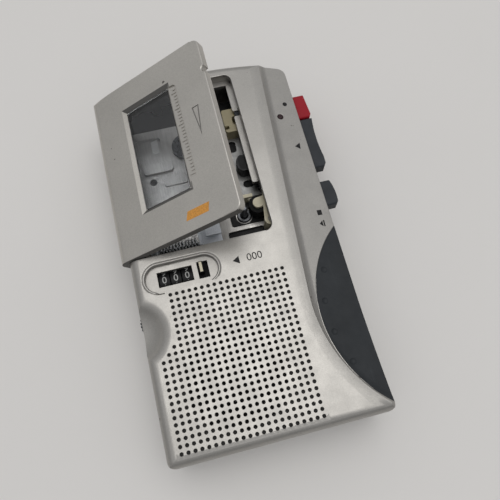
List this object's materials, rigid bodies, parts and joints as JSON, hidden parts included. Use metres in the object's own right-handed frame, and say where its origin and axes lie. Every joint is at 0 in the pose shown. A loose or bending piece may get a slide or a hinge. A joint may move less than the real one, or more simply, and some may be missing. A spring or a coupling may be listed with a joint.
{
  "type": "micro-cassette dictation machine",
  "caption": "Pocket micro-cassette dictation machine with a hinged windowed cassette lid, side keys, tape counter, perforated speaker face and thumb grip.",
  "frame": {"origin": "on the back face, on the middle line of the case, 59.5 mm above its straight bottom end", "axes": "+X to the key side, +Y along the case to the microphone end, +Z out of the front face"},
  "size_m": [0.0707, 0.1203, 0.044],
  "materials": {
    "silver_paint": "satin silver paint on moulded plastic",
    "grey_plastic": "matt",
    "slate_plastic": "fine matt",
    "black_plastic": "matt",
    "red_plastic": "satin",
    "red_lens": "clear gloss",
    "cream_plastic": "satin",
    "olive_plastic": "satin",
    "window": "clear smoked acrylic",
    "zinc_steel": "zinc plated",
    "bright_steel": "bright",
    "dark_steel": "blackened",
    "brass": "turned",
    "rubber": "matt",
    "board": "solder mask",
    "paper": "pressed paper"
  },
  "bodies": {
    "case": {"front_case": "silver_paint", "rear_case": "silver_paint", "speaker_grille": "silver_paint", "thumb_grip": "slate_plastic", "battery_tray": "black_plastic", "battery_contacts": "bright_steel", "battery_springs": "bright_steel", "case_screws": "dark_steel", "chassis_screws": "dark_steel", "hinge_pin": "bright_steel", "lid_spring": "bright_steel", "chassis_plate": "zinc_steel", "mech_frame": "black_plastic", "capstan_bush": "bright_steel", "motor": "zinc_steel", "drive_belt": "rubber", "tape_guide": "cream_plastic", "deck_mask": "black_plastic", "brake_spring": "bright_steel", "spring_bracket": "bright_steel", "key_guide": "black_plastic", "record_spring": "bright_steel", "play_spring": "bright_steel", "stop_spring": "bright_steel", "counter_frame": "black_plastic", "volume_pot": "black_plastic", "circuit_board": "board", "speaker_frame": "dark_steel", "speaker_cone": "paper", "led_lens": "red_lens", "mic_cap": "grey_plastic", "ear_jack": "black_plastic", "mic_jack": "black_plastic"},
    "lid": {"cassette_lid": "silver_paint", "lid_window": "window", "cassette_holder": "grey_plastic", "pressure_spring": "bright_steel"},
    "door": {"battery_door": "silver_paint"},
    "supply": {"supply_reel": "slate_plastic"},
    "takeup": {"takeup_reel": "slate_plastic"},
    "idler": {"idler_wheel": "rubber"},
    "capstan": {"capstan_shaft": "bright_steel", "flywheel": "brass"},
    "rotor": {"motor_pulley": "black_plastic"},
    "head_carriage": {"head_plate": "zinc_steel", "record_head": "bright_steel", "erase_head": "olive_plastic"},
    "pinch_lever": {"pinch_arm": "cream_plastic"},
    "roller": {"pinch_roller": "rubber"},
    "latch": {"lid_latch": "slate_plastic"},
    "record_button": {"record_key": "red_plastic"},
    "play_button": {"play_key": "slate_plastic"},
    "stop_button": {"stop_key": "slate_plastic"},
    "counter_units": {"counter_wheel_units": "black_plastic"},
    "counter_tens": {"counter_wheel_tens": "black_plastic"},
    "counter_hundreds": {"counter_wheel_hundreds": "black_plastic"},
    "reset": {"reset_button": "cream_plastic"},
    "volume": {"volume_wheel": "slate_plastic"}
  },
  "joints": [
    {"name": "lid_hinge", "type": "hinge", "parent": "case", "child": "lid", "pos_m": [-0.03, 0.0277, 0.0168], "axis": [0, -1, 0], "range_deg": [-30, 0], "stiffness_Nm_per_rad": 0.006, "springref_deg": 34.38},
    {"name": "door_slide", "type": "slide", "parent": "case", "child": "door", "axis": [0, -1, 0], "range_m": [0, 0.03]},
    {"name": "record_slide", "type": "slide", "parent": "case", "child": "record_button", "axis": [-1, 0, 0], "range_m": [0, 0.0025], "stiffness_N_per_m": 200, "springref_m": -0.001, "deforming": ["record_spring"]},
    {"name": "play_slide", "type": "slide", "parent": "case", "child": "play_button", "axis": [-1, 0, 0], "range_m": [0, 0.0025], "stiffness_N_per_m": 200, "springref_m": -0.001, "deforming": ["play_spring"]},
    {"name": "stop_slide", "type": "slide", "parent": "case", "child": "stop_button", "axis": [-1, 0, 0], "range_m": [0, 0.0025], "stiffness_N_per_m": 200, "springref_m": -0.001, "deforming": ["stop_spring"]},
    {"name": "head_slide", "type": "slide", "parent": "case", "child": "head_carriage", "axis": [-1, 0, 0], "range_m": [0, 0.0025]},
    {"name": "pinch_swing", "type": "hinge", "parent": "case", "child": "pinch_lever", "pos_m": [0.0132, 0.004, 0.0185], "axis": [0, 0, 1], "range_deg": [0, 5.1]},
    {"name": "pinch_spin", "type": "hinge", "parent": "pinch_lever", "child": "roller", "pos_m": [0.0106, 0.0102, 0.012], "axis": [0, 0, 1], "continuous": true},
    {"name": "latch_slide", "type": "slide", "parent": "case", "child": "latch", "axis": [1, 0, 0], "range_m": [0, 0.0012]},
    {"name": "capstan_spin", "type": "hinge", "parent": "case", "child": "capstan", "pos_m": [0.0059, 0.0094, 0.012], "axis": [0, 0, 1], "continuous": true},
    {"name": "motor_spin", "type": "hinge", "parent": "case", "child": "rotor", "pos_m": [0.013, 0.041, 0.012], "axis": [0, 0, 1], "continuous": true},
    {"name": "idler_spin", "type": "hinge", "parent": "case", "child": "idler", "pos_m": [0.00053, 0.0125, 0.012], "axis": [0, 0, 1], "continuous": true},
    {"name": "takeup_spin", "type": "hinge", "parent": "case", "child": "takeup", "pos_m": [-0.007, 0.01685, 0.012], "axis": [0, 0, 1], "continuous": true},
    {"name": "supply_spin", "type": "hinge", "parent": "case", "child": "supply", "pos_m": [-0.007, 0.03835, 0.012], "axis": [0, 0, 1], "continuous": true},
    {"name": "units_spin", "type": "hinge", "parent": "case", "child": "counter_units", "pos_m": [-0.01935, -0.00815, 0.0174], "axis": [1, 0, 0], "continuous": true},
    {"name": "tens_spin", "type": "hinge", "parent": "case", "child": "counter_tens", "pos_m": [-0.01935, -0.00815, 0.0174], "axis": [1, 0, 0], "continuous": true},
    {"name": "hundreds_spin", "type": "hinge", "parent": "case", "child": "counter_hundreds", "pos_m": [-0.01935, -0.00815, 0.0174], "axis": [1, 0, 0], "continuous": true},
    {"name": "reset_press", "type": "slide", "parent": "case", "child": "reset", "axis": [0, 0, -1], "range_m": [0, 0.0012], "stiffness_N_per_m": 150, "springref_m": -0.0005},
    {"name": "volume_turn", "type": "hinge", "parent": "case", "child": "volume", "pos_m": [-0.0262, -0.0187, 0.014], "axis": [0, 0, 1], "range_deg": [-135, 135]}
  ],
  "couplings": [
    {"joint": "head_slide", "follows": "play_slide", "ratio": 1},
    {"joint": "pinch_swing", "follows": "play_slide", "rad_per_m": 34.9},
    {"joint": "latch_slide", "follows": "stop_slide", "ratio": 0.48},
    {"joint": "motor_spin", "follows": "capstan_spin", "ratio": 4.5789},
    {"joint": "idler_spin", "follows": "capstan_spin", "ratio": -0.98413},
    {"joint": "takeup_spin", "follows": "capstan_spin", "ratio": 0.54546},
    {"joint": "units_spin", "follows": "capstan_spin", "ratio": 0.136},
    {"joint": "tens_spin", "follows": "capstan_spin", "ratio": 0.0136},
    {"joint": "hundreds_spin", "follows": "capstan_spin", "ratio": 0.00136}
  ]
}
